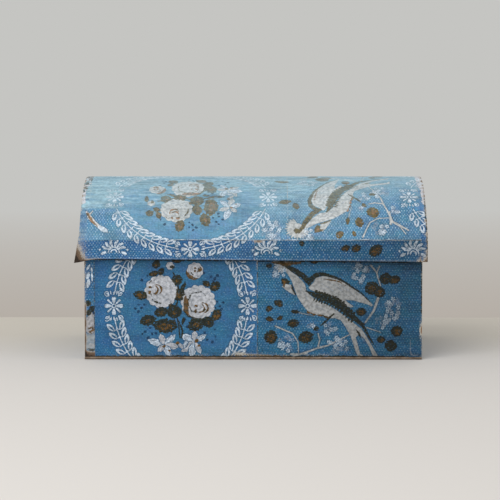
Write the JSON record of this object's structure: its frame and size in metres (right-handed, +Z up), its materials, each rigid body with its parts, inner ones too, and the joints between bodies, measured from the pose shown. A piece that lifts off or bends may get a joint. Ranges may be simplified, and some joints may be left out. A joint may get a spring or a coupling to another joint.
{
  "type": "domed keepsake box",
  "caption": "Rectangular pasteboard box with a vaulted lid on a linen hinge, covered in old block-printed blue wallpaper, for papers and keepsakes.",
  "frame": {"origin": "middle of the footprint, on the surface that the box stands on, lid closed", "axes": "+X along the box to the right seen from its front, -Y towards the front, +Z up"},
  "size_m": [0.4428, 0.2572, 0.2285],
  "materials": {
    "pasteboard": "matte",
    "printed_wallpaper": "matte",
    "lining_paper": "matte",
    "linen": "matte"
  },
  "bodies": {
    "box": {"base_board": "pasteboard", "front_wall": "pasteboard", "back_wall": "pasteboard", "left_wall": "pasteboard", "right_wall": "pasteboard", "front_paper_left": "printed_wallpaper", "front_paper_right": "printed_wallpaper", "back_paper": "printed_wallpaper", "left_end_paper": "printed_wallpaper", "right_end_paper": "printed_wallpaper", "base_paper": "lining_paper", "floor_lining": "lining_paper", "front_lining": "lining_paper", "back_lining": "lining_paper", "left_lining": "lining_paper", "right_lining": "lining_paper", "hinge_linen_lower": "linen"},
    "lid": {"dome_board": "pasteboard", "lid_front_rim": "pasteboard", "lid_back_rim": "pasteboard", "lid_left_end": "pasteboard", "lid_right_end": "pasteboard", "dome_paper_left": "printed_wallpaper", "dome_paper_right": "printed_wallpaper", "lid_front_band_left": "printed_wallpaper", "lid_front_band_right": "printed_wallpaper", "lid_back_band": "printed_wallpaper", "lid_left_end_paper": "printed_wallpaper", "lid_right_end_paper": "printed_wallpaper", "dome_lining": "lining_paper", "lid_left_lining": "lining_paper", "lid_right_lining": "lining_paper", "hinge_linen_upper": "linen"}
  },
  "joints": [
    {"name": "lid_hinge", "type": "hinge", "parent": "box", "child": "lid", "pos_m": [0, 0.12876, 0.1252], "axis": [-1, 0, 0], "range_deg": [0, 178]}
  ]
}
